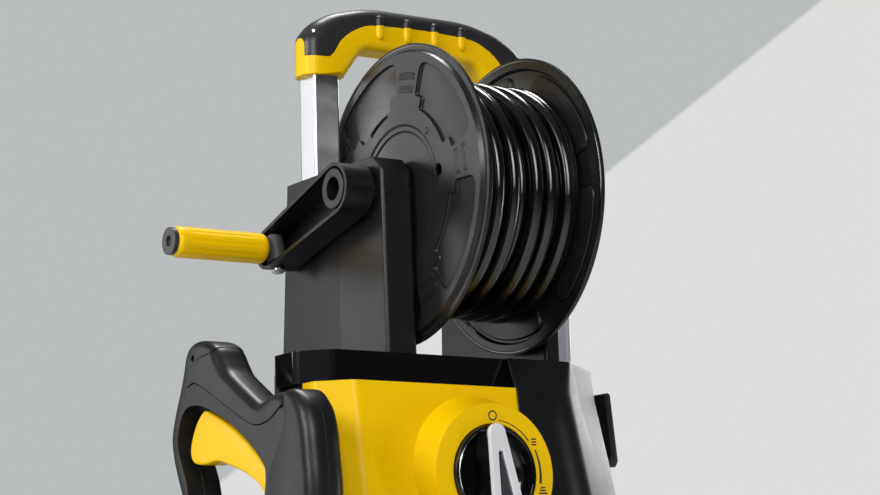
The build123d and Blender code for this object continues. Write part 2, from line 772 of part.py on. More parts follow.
# ---------------------------------------------------------------- cable hooks
for name, level in (("upper", 500.0), ("lower", 300.0)):
    upward = 1 if name == "upper" else -1
    with BuildPart() as hook:
        with BuildSketch(Plane.XZ.offset(-front(44))):
            with BuildLine():
                Polyline((130, level - upward * 10), (196, level - upward * 10), (202, level),
                         (198, level + upward * 42), (188, level + upward * 42),
                         (186, level + upward * 6), (130, level + upward * 6), close=True)
            make_face()
        extrude(amount=26)
        add(hood_solid.part, mode=Mode.SUBTRACT)
    finish(hook, f"cable_hook_{name}")

# ---------------------------------------------------------------- inside
motor_x, motor_y = 0.0, front(60)
with BuildPart() as motor:
    with BuildSketch(Plane.XY.offset(150)):
        with Locations((motor_x, motor_y)):
            Circle(62)
            Circle(9 + running_fit, mode=Mode.SUBTRACT)
    extrude(amount=150)
finish(motor, "motor")

with BuildPart() as motor_shaft:
    with BuildSketch(Plane.XY.offset(120)):
        with Locations((motor_x, motor_y)):
            Circle(9)
    extrude(amount=200)
finish(motor_shaft, "motor_shaft")

with BuildPart() as fan:
    with BuildSketch(Plane.XY.offset(305)):
        with Locations((motor_x, motor_y)):
            Circle(20)
            with PolarLocations(34, 9):
                Rectangle(40, 3)
            Circle(9, mode=Mode.SUBTRACT)
    extrude(amount=14)
finish(fan, "motor_fan")

with BuildPart() as pump:
    with BuildSketch(Plane.XY.offset(base_bottom + 2 * wall)):
        with Locations((motor_x, motor_y)):
            RectangleRounded(100, 100, 18)
    extrude(amount=150 - base_bottom - 2 * wall)
    with BuildSketch(Plane.XY.offset(118)):
        with Locations((motor_x, motor_y)):
            Circle(9 + running_fit)
    extrude(amount=40, mode=Mode.SUBTRACT)
finish(pump, "pump")

with BuildPart() as switch_box:
    with BuildSketch(Plane.XZ.offset(-front(-36))):
        with Locations((dial_x, dial_z)):
            RectangleRounded(90, 70, 5)
            Circle(5 + running_fit, mode=Mode.SUBTRACT)
    extrude(amount=-50)
finish(switch_box, "switch_box")

# ---------------------------------------------------------------- water inlet and cable gland
inlet_x, inlet_z = 60.0, 215.0
inlet_radius, inlet_bore, inlet_end = 13.2, 9.0, 138.0
gland_x, gland_z = -60.0, 215.0
with BuildPart() as water_inlet:
    with BuildSketch(Plane.XZ.offset(-inlet_end)):
        with Locations((inlet_x, inlet_z)):
            Circle(inlet_radius)
    extrude(amount=60)
    with BuildSketch(Plane.XZ.offset(-inlet_end + 18)):
        with Locations((inlet_x, inlet_z)):
            RegularPolygon(19, 6)
    extrude(amount=40)
    add(hood_solid.part, mode=Mode.SUBTRACT)
    with BuildSketch(Plane.XZ.offset(-inlet_end)):
        with Locations((inlet_x, inlet_z)):
            Circle(inlet_bore)
    extrude(amount=20, mode=Mode.SUBTRACT)
finish(water_inlet, "water_inlet")

with BuildPart() as inlet_filter:
    with BuildSketch(Plane.XZ.offset(-inlet_end + 8)):
        with Locations((inlet_x, inlet_z)):
            Circle(inlet_bore)
            Circle(inlet_bore - 2, mode=Mode.SUBTRACT)
    extrude(amount=10)
finish(inlet_filter, "inlet_filter")

with BuildPart() as cable_gland:
    with BuildSketch(Plane.XZ.offset(-inlet_end + 6)):
        with Locations((gland_x, gland_z)):
            Circle(7)
    extrude(amount=50, taper=-5)
    add(hood_solid.part, mode=Mode.SUBTRACT)
    with BuildSketch(Plane.XZ.offset(-inlet_end + 6)):
        with Locations((gland_x, gland_z)):
            Circle(3.5)
    extrude(amount=20, mode=Mode.SUBTRACT)
finish(cable_gland, "cable_gland")
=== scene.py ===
import json
import math

import bmesh
import bpy
from mathutils import Matrix, Vector


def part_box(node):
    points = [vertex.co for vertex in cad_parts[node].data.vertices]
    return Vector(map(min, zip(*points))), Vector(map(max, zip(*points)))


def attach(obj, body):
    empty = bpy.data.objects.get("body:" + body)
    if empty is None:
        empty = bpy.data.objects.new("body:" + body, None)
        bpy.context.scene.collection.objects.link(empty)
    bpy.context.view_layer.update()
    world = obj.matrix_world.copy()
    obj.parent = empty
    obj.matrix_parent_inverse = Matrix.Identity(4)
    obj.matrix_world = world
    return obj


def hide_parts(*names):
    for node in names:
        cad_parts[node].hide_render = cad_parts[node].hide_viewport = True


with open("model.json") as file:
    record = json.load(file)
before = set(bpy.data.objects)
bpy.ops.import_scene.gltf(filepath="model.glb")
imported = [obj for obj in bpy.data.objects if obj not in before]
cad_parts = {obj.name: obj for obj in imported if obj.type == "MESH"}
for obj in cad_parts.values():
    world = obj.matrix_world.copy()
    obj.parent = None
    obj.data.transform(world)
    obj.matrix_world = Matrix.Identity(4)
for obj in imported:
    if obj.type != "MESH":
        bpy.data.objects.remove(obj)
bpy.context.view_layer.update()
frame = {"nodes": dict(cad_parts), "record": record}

nodes = frame["nodes"]
MM = 0.001  # outlines and profiles below are in millimetres


# ---- places read from the frame
def joint(name):
    """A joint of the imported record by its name."""
    return next(j for j in frame["record"]["behaviour"]["joints"] if j["name"] == name)


reel_pos = Vector(joint("reel_spin")["pos_m"])
dial_pos = Vector(joint("dial_turn")["pos_m"])
flange_face_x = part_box("flange_left")[0][0]
flange_radius = (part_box("flange_left")[1][2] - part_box("flange_left")[0][2]) / 2 / MM


# ---- mesh helpers
def add_object(name, data):
    """A new object in the scene."""
    made = bpy.data.objects.new(name, data)
    bpy.context.collection.objects.link(made)
    return made


def built(name, build):
    """A new object from a bmesh, its normals outward."""
    bmesh.ops.recalc_face_normals(build, faces=build.faces)
    mesh = bpy.data.meshes.new(name)
    build.to_mesh(mesh)
    build.free()
    return add_object(name, mesh)


def soften(piece, angle):
    """Smooth faces, split at edges sharper than an angle in degrees."""
    for polygon in piece.data.polygons:
        polygon.use_smooth = True
    piece.modifiers.new("edges", "EDGE_SPLIT").split_angle = math.radians(angle)


def turned_ring(build, radii, height):
    """A ring of vertices about +Z, evenly turned, one for each radius."""
    ring = []
    for k, radius in enumerate(radii):
        angle = 2 * math.pi * k / len(radii)
        across, up = radius * math.cos(angle), radius * math.sin(angle)
        ring.append(build.verts.new((across * MM, up * MM, height * MM)))
    return ring


def join_rings(build, rings):
    """Faces between neighbouring rings of as many vertices each."""
    for ring, following in zip(rings, rings[1:]):
        for k in range(len(ring)):
            after = (k + 1) % len(ring)
            build.faces.new((ring[k], ring[after], following[after], following[k]))


def lathe(name, profile, segments):
    """Turned piece about +Z from (radius, height) pairs; radius 0 is on the axis."""
    build = bmesh.new()
    rings = [turned_ring(build, [radius] * (segments if radius else 1), height) for radius, height in profile]
    for ring, following in zip(rings, rings[1:]):
        for k in range(segments):
            after = (k + 1) % segments
            corners = [ring[k % len(ring)], ring[after % len(ring)],
                       following[after % len(following)], following[k % len(following)]]
            unique = list(dict.fromkeys(corners))
            if len(unique) > 2:
                build.faces.new(unique)
    made = built(name, build)
    soften(made, 35)
    return made


def aim(piece, place, direction):
    """Puts a piece's origin at a place with its +Z along a direction."""
    turn = Vector(direction).to_track_quat("Z", "Y").to_matrix().to_4x4()
    piece.matrix_world = Matrix.Translation(place) @ turn


def clock(radius, angle, middle=(0, 0)):
    """Point of a dial, its angle in degrees clockwise from the top."""
    turn = math.radians(angle)
    return middle[0] + radius * math.sin(turn), middle[1] + radius * math.cos(turn)


def circle(radius, middle=(0, 0), steps=40):
    """Closed outline of a circle."""
    return [clock(radius, 360 * k / steps, middle) for k in range(steps)]


# ---- shader nodes
def feed(tree, value, socket):
    """Gives a socket a number, or links it to another node's output."""
    if isinstance(value, bpy.types.NodeSocket):
        tree.links.new(value, socket)
    else:
        socket.default_value = value


def node(tree, kind, **inputs):
    """A shader node with some of its sockets fed."""
    made = tree.nodes.new("ShaderNode" + kind)
    for name, value in inputs.items():
        feed(tree, value, made.inputs[name.replace("_", " ")])
    return made


def noise(tree, scale, detail=3.0, roughness=0.55, stretch=(1, 1, 1)):
    """Noise in the object's own coordinates; scale is in features per metre."""
    coordinates = node(tree, "TexCoord").outputs["Object"]
    place = node(tree, "Mapping", Vector=coordinates, Scale=stretch).outputs["Vector"]
    made = node(tree, "TexNoise", Vector=place, Scale=scale, Detail=detail, Roughness=roughness)
    return made.outputs["Fac"]


def ramp(tree, value, stops):
    """Colour ramp over a value; stops are (position, colour)."""
    made = node(tree, "ValToRGB", Fac=value)
    elements = made.color_ramp.elements
    while len(elements) < len(stops):
        elements.new(0.5)
    for element, (position, colour) in zip(elements, stops):
        element.position = position
        element.color = (*colour, 1)
    return made.outputs["Color"]


def spread(tree, value, **ends):
    """Maps a value from one range to another; both are 0..1 where no ends are given."""
    return node(tree, "MapRange", Value=value, **ends).outputs["Result"]


def bump(tree, height, strength, distance, **normal):
    """Bump of a height in metres, on top of another normal if given."""
    made = node(tree, "Bump", Height=height, Strength=strength, Distance=distance, **normal)
    return made.outputs["Normal"]


def soft_edges(tree, radius):
    """Normals that round a moulded edge off by a radius."""
    made = node(tree, "Bevel", Radius=radius)
    made.samples = 4
    return made.outputs["Normal"]


def shade(colour, factor):
    """A colour made lighter or darker."""
    return tuple(min(1.0, c * factor) for c in colour)


def new_material(name):
    """A material with its node tree and its shader."""
    material = bpy.data.materials.new(name)
    material.use_nodes = True
    return material, material.node_tree, material.node_tree.nodes["Principled BSDF"]


# ---- camera, floor and light
# the photograph's camera; its place is from the middle of the left flange's face, in metres
CAMERA_TURN, CAMERA_RISE, CAMERA_ROLL = (math.radians(angle) for angle in (33.8, 10.1, -1.61))
CAMERA_PLACE = Vector((-1.0940, -1.6928, -0.4033))
CAMERA_LENS, CAMERA_SENSOR = 103.1, 36.0
WALL_GREY, WALL_PALE = (0.485, 0.505, 0.505), (0.725, 0.730, 0.715)
WALL_EDGE = (0.656, 0.707, 0.2635), (0.599, 0.774, 0.2025)  # two directions that lie on the edge
WALL_EDGE_BLUR = 0.0008
WORLD_DIM, WORLD_BRIGHT, WORLD_POWER = (0.10, 0.10, 0.10), (0.85, 0.86, 0.88), 0.20
BRIGHT_SIDE = (-0.35, 0.85, 0.39)
FLOOR_REACH = 6.0
FLOOR_COLOUR = (0.62, 0.63, 0.63, 1)
LAMPS = [  # name, place, height of the point it faces, width, height and power in watts
    ("left_rear", (-1.48, 1.72, 0.98), 0.65, 0.62, 1.3, 7),
    ("key_left", (-2.6, -0.55, 1.6), 0.65, 0.9, 1.1, 46),
    ("fill_front", (-1.2, -2.3, 1.8), 0.65, 1.2, 0.9, 38),
    ("strip_right", (2.1, -1.35, 0.45), 0.6, 0.08, 0.95, 9),
    ("rim_right", (2.1, 1.2, 1.5), 0.65, 0.5, 1.6, 20),
    ("top_soft", (0.35, 0.55, 2.6), 0.65, 0.7, 0.5, 30),
]


def add_camera():
    """Long lens, low and to the left of the front, looking slightly up."""
    right = Vector((math.cos(CAMERA_TURN), -math.sin(CAMERA_TURN), 0))
    ahead = Vector((math.sin(CAMERA_TURN) * math.cos(CAMERA_RISE),
                    math.cos(CAMERA_TURN) * math.cos(CAMERA_RISE), math.sin(CAMERA_RISE)))
    upward = right.cross(ahead)
    x_axis = math.cos(CAMERA_ROLL) * right + math.sin(CAMERA_ROLL) * upward
    y_axis = math.cos(CAMERA_ROLL) * upward - math.sin(CAMERA_ROLL) * right
    data = bpy.data.cameras.new("camera")
    data.lens = CAMERA_LENS
    data.sensor_width = CAMERA_SENSOR
    data.clip_end = 50.0
    camera = add_object("camera", data)
    place = Vector((flange_face_x, reel_pos.y, reel_pos.z)) + CAMERA_PLACE
    axes = Matrix((x_axis, y_axis, -ahead)).transposed()
    camera.matrix_world = Matrix.Translation(place) @ axes.to_4x4()
    bpy.context.scene.camera = camera


def add_area_light(name, place, aimed_at, width, height, power):
    """A rectangular softbox that faces the reel's middle at a height."""
    data = bpy.data.lights.new(name, "AREA")
    data.shape = "RECTANGLE"
    data.size, data.size_y = width, height
    data.energy = power
    lamp = add_object(name, data)
    lamp.location = place
    ray = Vector((0, reel_pos.y, aimed_at)) - Vector(place)
    lamp.rotation_euler = ray.to_track_quat("-Z", "Y").to_euler()


def add_world():
    """Two plain greys behind the object; as light, dim at the front and brighter behind."""
    world = bpy.data.worlds.new("studio")
    bpy.context.scene.world = world
    world.use_nodes = True
    tree = world.node_tree
    tree.nodes.clear()
    out = node(tree, "OutputWorld")
    mix = node(tree, "MixShader")
    path = node(tree, "LightPath")
    direction = node(tree, "TexCoord").outputs["Generated"]

    def along(axis):
        """How far the looked-at direction points along an axis, from -1 to 1."""
        made = node(tree, "VectorMath")
        made.operation = "DOT_PRODUCT"
        made.inputs[1].default_value = axis
        tree.links.new(direction, made.inputs[0])
        return made.outputs["Value"]

    def background(value, stops, strength):
        """Light whose colour follows a value."""
        colour = ramp(tree, value, stops)
        return node(tree, "Background", Strength=strength, Color=colour).outputs["Background"]

    edge = Vector(WALL_EDGE[0]).cross(Vector(WALL_EDGE[1])).normalized()
    past_edge = spread(tree, along(edge), From_Min=-WALL_EDGE_BLUR, From_Max=WALL_EDGE_BLUR)
    seen = background(past_edge, [(0.0, WALL_PALE), (1.0, WALL_GREY)], 1.0)
    lit = background(spread(tree, along(BRIGHT_SIDE), From_Min=-1, From_Max=1),
                     [(0.25, WORLD_DIM), (0.85, WORLD_BRIGHT)], WORLD_POWER)
    tree.links.new(path.outputs["Is Camera Ray"], mix.inputs["Fac"])
    tree.links.new(lit, mix.inputs[1])
    tree.links.new(seen, mix.inputs[2])
    tree.links.new(mix.outputs["Shader"], out.inputs["Surface"])


def add_floor():
    """A wide pale floor."""
    corners = [(x * FLOOR_REACH, y * FLOOR_REACH, 0) for x, y in ((-1, -1), (1, -1), (1, 1), (-1, 1))]
    mesh = bpy.data.meshes.new("floor")
    mesh.from_pydata(corners, [], [(0, 1, 2, 3)])
    floor = add_object("floor", mesh)
    material, _, shader = new_material("floor_paint")
    shader.inputs["Base Color"].default_value = FLOOR_COLOUR
    shader.inputs["Roughness"].default_value = 0.7
    mesh.materials.append(material)


# ---- materials
def plastic(name, colour, rough, grain=0.0, grain_scale=1400.0, coat=0.0, waviness=0.0, edge=0.0008,
            variation=0.12, specular=0.5):
    """Moulded plastic: fine grain, faint sink marks, slight colour and gloss variation."""
    material, tree, shader = new_material(name)
    broad = noise(tree, 9.0, 2.0)
    shades = [(0.3, shade(colour, 1 - variation)), (0.7, shade(colour, 1 + variation))]
    tree.links.new(ramp(tree, broad, shades), shader.inputs["Base Color"])
    smudge = noise(tree, 38.0, 5.0, 0.65)
    tree.links.new(spread(tree, smudge, To_Min=rough * 0.82, To_Max=rough * 1.2), shader.inputs["Roughness"])
    shader.inputs["Specular IOR Level"].default_value = specular
    shader.inputs["Coat Weight"].default_value = coat
    shader.inputs["Coat Roughness"].default_value = 0.06
    normal = soft_edges(tree, edge)
    if waviness:
        normal = bump(tree, noise(tree, 22.0, 1.0), waviness, 0.0012, Normal=normal)
    if grain:
        normal = bump(tree, noise(tree, grain_scale, 2.0, 0.5), grain, 0.00012, Normal=normal)
    tree.links.new(normal, shader.inputs["Normal"])
    return material


def metal(name, colour, rough, stretch, line_scale=900.0, strength=0.25, contrast=0.12):
    """Drawn or brushed metal with fine lines along one direction."""
    material, tree, shader = new_material(name)
    shader.inputs["Metallic"].default_value = 1.0
    lines = noise(tree, line_scale, 4.0, 0.6, stretch)
    shades = [(0.35, shade(colour, 1 - contrast)), (0.65, shade(colour, 1 + contrast / 2))]
    tree.links.new(ramp(tree, lines, shades), shader.inputs["Base Color"])
    smudge = noise(tree, 30.0, 4.0)
    tree.links.new(spread(tree, smudge, To_Min=rough * 0.8, To_Max=rough * 1.25), shader.inputs["Roughness"])
    normal = bump(tree, lines, strength, 0.0001, Normal=soft_edges(tree, 0.0005))
    tree.links.new(normal, shader.inputs["Normal"])
    return material


black_satin = plastic("black_satin_plastic", (0.007, 0.007, 0.008), 0.33, grain=0.30, waviness=0.10,
                      specular=0.36)
black_gloss = plastic("black_gloss_plastic", (0.004, 0.004, 0.005), 0.12, coat=0.5, waviness=0.06)
yellow = plastic("yellow_plastic", (0.92, 0.565, 0.001), 0.34, grain=0.08, coat=0.05, waviness=0.05,
                 variation=0.03, specular=0.16)
silver = plastic("silver_trim_plastic", (0.30, 0.30, 0.32), 0.42, grain=0.2, variation=0.05, specular=0.3)
soft_touch = plastic("soft_touch_rubber", (0.028, 0.028, 0.030), 0.52, grain=0.6, grain_scale=1000)
grip_black = plastic("grip_cap_rubber", (0.024, 0.024, 0.027), 0.36, grain=0.35, grain_scale=1100,
                     specular=0.4)
gun_black = plastic("gun_plastic", (0.010, 0.010, 0.011), 0.36, grain=0.55, grain_scale=1000,
                    specular=0.34)
flange_black = plastic("flange_plastic", (0.010, 0.010, 0.011), 0.30, grain=0.25, waviness=0.12,
                       specular=0.4)
black_panel = plastic("panel_plastic", (0.008, 0.008, 0.009), 0.30, grain=0.12, waviness=0.05,
                      specular=0.4)
dial_ink = plastic("dial_ink", (0.012, 0.014, 0.022), 0.5)
grey_cap = plastic("grey_cap_plastic", (0.035, 0.036, 0.040), 0.35, grain=0.3)
pearl = plastic("pearl_plastic", (0.74, 0.75, 0.77), 0.22, coat=0.4, variation=0.03)
inner_grey = plastic("inner_plastic", (0.05, 0.05, 0.052), 0.5, grain=0.4)
frosted = plastic("frosted_bottle", (0.50, 0.50, 0.55), 0.35, grain=0.1, variation=0.05)
tyre_rubber = plastic("tyre_rubber", (0.018, 0.018, 0.018), 0.6, grain=0.8, grain_scale=700)
hose_rubber = plastic("hose_rubber", (0.006, 0.006, 0.006), 0.16, coat=0.3)
aluminium = metal("drawn_aluminium", (0.66, 0.67, 0.69), 0.30, (1, 1, 0.02), 1500.0, 0.10, 0.05)
steel = metal("turned_steel", (0.50, 0.50, 0.52), 0.28, (0.02, 1, 1))
cast = metal("cast_aluminium", (0.42, 0.43, 0.44), 0.5, (1, 1, 1), 260.0, 0.5)
brass = metal("machined_brass", (0.66, 0.47, 0.18), 0.28, (1, 0.05, 1))

SLOT_MATERIALS = {
    "black_satin": black_satin, "black_gloss": black_gloss, "yellow": yellow, "silver_trim": silver,
    "aluminium": aluminium, "steel": steel, "soft_grip": soft_touch, "hose_rubber": hose_rubber,
    "tyre_rubber": tyre_rubber, "pointer_white": pearl, "cap_grey": grey_cap, "bottle_clear": frosted,
    "motor_metal": cast, "brass": brass, "inner_grey": inner_grey,
}
# edge radius of the CAD nodes that are shown rounded off, and the sharpest bend left alone
ROUNDED_NODES = {"column_left": 3.5, "column_right": 3.5, "bearing_cap_left": 2.2, "bearing_cap_right": 2.2,
                 "crank_arm": 1.2, "top_deck": 2.5, "dial_boss": 1.2}
ROUNDED_ABOVE = math.radians(28)


def dress_cad_nodes():
    """Gives every CAD node the procedural material of its record slot."""
    for entry in frame["record"]["subparts"]:
        mesh = nodes[entry["node"]].data
        mesh.materials.clear()
        mesh.materials.append(SLOT_MATERIALS[entry["material_slot"]])


def round_cad_nodes():
    """Rounds off the edges of some CAD nodes with a modifier."""
    for name, radius in ROUNDED_NODES.items():
        rounded = nodes[name].modifiers.new("rounded", "BEVEL")
        rounded.width = radius * MM
        rounded.segments = 4
        rounded.limit_method = "ANGLE"
        rounded.angle_limit = ROUNDED_ABOVE


# ---- hose on the reel
HOSE_RADIUS = 5.7 * MM
HOSE_PITCH = 11.5 * MM  # from turn to turn of the lower layer
HOSE_CLIMB = 11.7 * MM  # from the lower layer up to the upper one
HOSE_SHIFT = 1.3 * MM  # along the reel while it climbs
HOSE_CLEARANCE = 0.05 * MM  # to the drum and to the first flange
HOSE_START = math.radians(200)
HOSE_STEPS = 16  # control points for a turn
LOWER_TURNS = 8
UPPER_TURNS = (43, 25.5, 11.5, -10.5, -25.5, -37, -48.5)  # from the middle of the reel, in mm
UPPER_CROSSING = 0.38  # share of an upper turn in which it moves along
HOSE_END_RISE = 1.6 * MM  # how quickly the free end rises
HOSE_RIBS, HOSE_RIB_SLANT = 380.0, 900.0
HOSE_CONNECTOR = [
    (0.0, 0.0), (6.6, 0.0), (7.2, 0.8), (7.2, 15.0), (6.4, 16.0), (6.4, 18.0), (8.0, 18.6), (8.0, 28.0),
    (7.2, 29.0), (5.0, 29.2), (5.0, 38.0), (4.2, 39.0), (4.2, 37.0), (0.0, 37.0),
]


def hose_material():
    """Glossy black cover over a braid whose ribs show through as fine serrations."""
    material = plastic("hose_cover", (0.004, 0.004, 0.004), 0.14, coat=0.6, edge=0.0002)
    tree = material.node_tree
    shader = tree.nodes["Principled BSDF"]
    split = node(tree, "SeparateXYZ", Vector=node(tree, "TexCoord").outputs["Object"])

    def maths(operation, *values):
        """A maths node over numbers and other nodes' outputs."""
        made = node(tree, "Math")
        made.operation = operation
        for socket, value in zip(made.inputs, values):
            feed(tree, value, socket)
        return made.outputs["Value"]

    depth = maths("SUBTRACT", split.outputs["Y"], reel_pos.y)
    height = maths("SUBTRACT", split.outputs["Z"], reel_pos.z)
    turn = maths("ARCTAN2", height, depth)
    slant = maths("MULTIPLY", split.outputs["X"], HOSE_RIB_SLANT)
    phase = maths("ADD", maths("MULTIPLY", turn, HOSE_RIBS), slant)
    rib = maths("MULTIPLY_ADD", maths("SINE", phase), 0.5, 0.5)
    normal = bump(tree, rib, 0.30, 0.00018)
    tree.links.new(normal, shader.inputs["Normal"])
    tree.links.new(normal, shader.inputs["Coat Normal"])
    return material


def hose_route():
    """Control points of the wound hose: a close lower layer, then looser turns back over it."""
    points = []
    reach = 1 / math.cos(math.pi / HOSE_STEPS)  # the spline runs inside its control points

    def place(turns, x, radius):
        """Adds a control point, some turns from the hose's beginning."""
        angle = HOSE_START + 2 * math.pi * turns
        points.append((x, reel_pos.y - radius * reach * math.cos(angle),
                       reel_pos.z + radius * reach * math.sin(angle)))

    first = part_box("hose_winding")[0][0] + HOSE_RADIUS + HOSE_CLEARANCE
    drum_radius = (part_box("drum")[1][2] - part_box("drum")[0][2]) / 2
    lower_radius = drum_radius + HOSE_RADIUS + HOSE_CLEARANCE
    for step in range(LOWER_TURNS * HOSE_STEPS + 1):
        place(step / HOSE_STEPS, first + HOSE_PITCH * step / HOSE_STEPS, lower_radius)

    x = first + HOSE_PITCH * LOWER_TURNS
    climb = HOSE_STEPS // 2
    for step in range(1, climb + 1):
        share = step / climb
        place(LOWER_TURNS + step / HOSE_STEPS, x + HOSE_SHIFT * share,
              lower_radius + HOSE_CLIMB * share ** 0.5)

    x += HOSE_SHIFT
    turns = LOWER_TURNS + climb / HOSE_STEPS
    upper_radius = lower_radius + HOSE_CLIMB
    for offset in UPPER_TURNS:
        column = reel_pos.x + offset * MM
        for step in range(1, HOSE_STEPS + 1):
            share = min(1.0, step / (UPPER_CROSSING * HOSE_STEPS))
            smooth = share * share * (3 - 2 * share)
            place(turns + step / HOSE_STEPS, x + (column - x) * smooth, upper_radius)
        x = column
        turns += 1

    for step in range(1, 4):
        place(turns + step / HOSE_STEPS, x, upper_radius + HOSE_END_RISE * step ** 1.3)
    return points


def spline_length(owner):
    """Length of a curve object's own line."""
    bevel = owner.data.bevel_depth
    owner.data.bevel_depth = 0.0
    mesh = bpy.data.meshes.new_from_object(owner)
    owner.data.bevel_depth = bevel
    places = [v.co for v in mesh.vertices]
    total = sum((b - a).length for a, b in zip(places, places[1:]))
    bpy.data.meshes.remove(mesh)
    return total


def add_hose():
    """The high-pressure hose wound on the drum, with its connector at the free end."""
    route = hose_route()
    curve = bpy.data.curves.new("pressure_hose", "CURVE")
    curve.dimensions = "3D"
    spline = curve.splines.new("NURBS")
    spline.points.add(len(route) - 1)
    for point, place in zip(spline.points, route):
        point.co = (*place, 1)
        point.radius = HOSE_RADIUS  # the curve's bound box is padded by this, so it isn't left at 1
    spline.order_u = 3
    spline.use_endpoint_u = True
    curve.resolution_u = 4
    curve.bevel_depth = 1.0  # times the radius of each point
    curve.bevel_resolution = 4
    curve.use_fill_caps = True
    curve.materials.append(hose_material())
    hose = add_object("pressure_hose", curve)
    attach(hose, "reel")
    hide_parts("hose_winding")

    fitting = lathe("hose_connector", HOSE_CONNECTOR, 28)
    end, before = Vector(route[-1]), Vector(route[-2])
    aim(fitting, end, end - before)
    fitting.data.materials.append(steel)
    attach(fitting, "reel")
    length = spline_length(hose)


# ---- dial
POINTER_TURN = 9.0  # the pointer rests a little to the left of upright, in degrees
OFF_SIGN = (-1.0, 45.6)  # middle of the ring above the knob
MARK_SINK, MARK_DEPTH = 0.12, 0.3
KNOB_DEPTH = 31.0
# the knob's bowl from its rim inwards: distance from the side, distance below the front
KNOB_BOWL = [(0, 2.5), (0.7, 0.8), (2.4, 0), (3.6, 0.3), (4.4, 1.6), (7.0, 6), (11, 10), (17, 12.5)]
BOWL_FLOOR, BOWL_DEPTH = 12, 13.5


def faced_plate(name, outlines, middle, front_y, thickness, material, bevel=0.0, turn=0.0):
    """Flat plate facing the front; outlines are closed lists of (right, up) in millimetres."""
    curve = bpy.data.curves.new(name, "CURVE")
    curve.dimensions = "2D"
    curve.fill_mode = "BOTH"
    for outline in outlines:
        spline = curve.splines.new("POLY")
        spline.points.add(len(outline) - 1)
        for point, (right, up) in zip(spline.points, outline):
            point.co = (right * MM, up * MM, 0, 1)
        spline.use_cyclic_u = True
    curve.extrude = (thickness - 2 * bevel) / 2 * MM
    curve.bevel_depth = bevel * MM
    curve.bevel_resolution = 3
    curve.offset = -bevel * MM
    flat = bpy.data.objects.new(name + "_outline", curve)
    mesh = bpy.data.meshes.new_from_object(flat)
    bpy.data.objects.remove(flat)
    bpy.data.curves.remove(curve)
    mesh.materials.clear()
    mesh.materials.append(material)
    piece = add_object(name, mesh)
    place = Vector((middle[0], (front_y + thickness / 2) * MM, middle[1]))
    piece.matrix_world = (Matrix.Translation(place) @ Matrix.Rotation(math.radians(90), 4, "X")
                          @ Matrix.Rotation(math.radians(turn), 4, "Z"))
    if bevel:
        soften(piece, 40)
    else:
        mesh.shade_flat()
    return piece


def arc_band(radius, begin, finish, width_begin, width_end, steps=24):
    """Outline of a bent stroke; angles run clockwise from the top."""
    outer, inner = [], []
    for step in range(steps + 1):
        share = step / steps
        angle = begin + (finish - begin) * share
        half = (width_begin + (width_end - width_begin) * share) / 2
        outer.append(clock(radius + half, angle))
        inner.append(clock(radius - half, angle))
    return outer + inner[::-1]


def bars(angle, radius, widths, pitch=2.2, height=1.2):
    """A small symbol of level bars at a clock angle."""
    x, z = clock(radius, angle)
    outlines = []
    for number, width in enumerate(widths):
        left, right = x - width / 2, x + width / 2
        top = z + ((len(widths) - 1) / 2 - number) * pitch + height / 2
        outlines.append([(left, top), (right, top), (right, top - height), (left, top - height)])
    return outlines


def wedge(top, bottom, top_half, bottom_half, rounding=8):
    """Upright bar that widens downwards under a round top."""
    outline = [(-bottom_half, bottom), (-top_half, top - top_half)]
    for step in range(1, rounding):
        angle = math.pi * step / rounding
        outline.append((-top_half * math.cos(angle), top - top_half + top_half * math.sin(angle)))
    return outline + [(top_half, top - top_half), (bottom_half, bottom)]


def add_dial_marks(middle):
    """Signs and arcs printed on the yellow collar."""
    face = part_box("dial_boss")[0][1] / MM
    strokes = [circle(4.1, OFF_SIGN), circle(3.0, OFF_SIGN), arc_band(42.3, 6, 51, 0.5, 1.2),
               arc_band(43.6, 63, 99, 1.2, 2.4), *bars(55.5, 46.0, (4.6, 4.6, 4.6)),
               *bars(105, 47.0, (4.0, 6.2, 8.4))]
    marks = faced_plate("dial_marks", strokes, middle, face - MARK_SINK, MARK_DEPTH, dial_ink)
    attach(marks, "machine")


def add_dial():
    """The dial's printed marks, and its knob with bowls, bar and pointer."""
    middle = (dial_pos.x, dial_pos.z)
    add_dial_marks(middle)
    low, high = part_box("dial_knob")
    radius = (high[0] - low[0]) / 2 / MM
    rim = low[1] / MM
    bowl = [(radius - inwards, KNOB_DEPTH - below) for inwards, below in KNOB_BOWL]
    floor = KNOB_DEPTH - BOWL_DEPTH
    shell = lathe("dial_bowl", [(0, 0), (radius, 0), *bowl, (BOWL_FLOOR, floor), (0, floor)], 72)
    aim(shell, (middle[0], (rim + KNOB_DEPTH) * MM, middle[1]), (0, -1, 0))
    shell.data.materials.append(black_gloss)

    def upright(name, outlines, ahead, thickness, material, bevel):
        """A layer of the pointer, its front ahead of the knob's rim."""
        return faced_plate(name, outlines, middle, rim - ahead, thickness, material, bevel, POINTER_TURN)

    slot = wedge(17.0, -33.0, 2.3, 7.6)
    bar = upright("dial_bar", [wedge(37.0, -37.0, 8.2, 15.6)], 5.5, 17, black_gloss, 0.8)
    pointer = upright("dial_top", [wedge(38.8, -36.5, 7.6, 15.2), slot[::-1]], 9.5, 4.2, pearl, 0.7)
    inlay = upright("dial_inlay", [wedge(14.0, -33.5, 1.2, 6.2)], 8.6, 3.4, grey_cap, 0.4)
    for piece in (shell, bar, pointer, inlay):
        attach(piece, "dial")
    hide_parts("dial_knob")
    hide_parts("dial_pointer")


# ---- crank grip
GRIP_FLUTES, FLUTE_DEPTH = 10, 0.55
FLUTE_START, FLUTE_RUN = 6, 8  # distance of the flutes from an end, and the run in which they deepen
SLEEVE_ROUNDING, SLEEVE_DROP = 4, 2.2  # length of a rounded end, and how far it drops
SLEEVE_BORE = 8.0
SLEEVE_AROUND, SLEEVE_ALONG = 96, 40  # faces


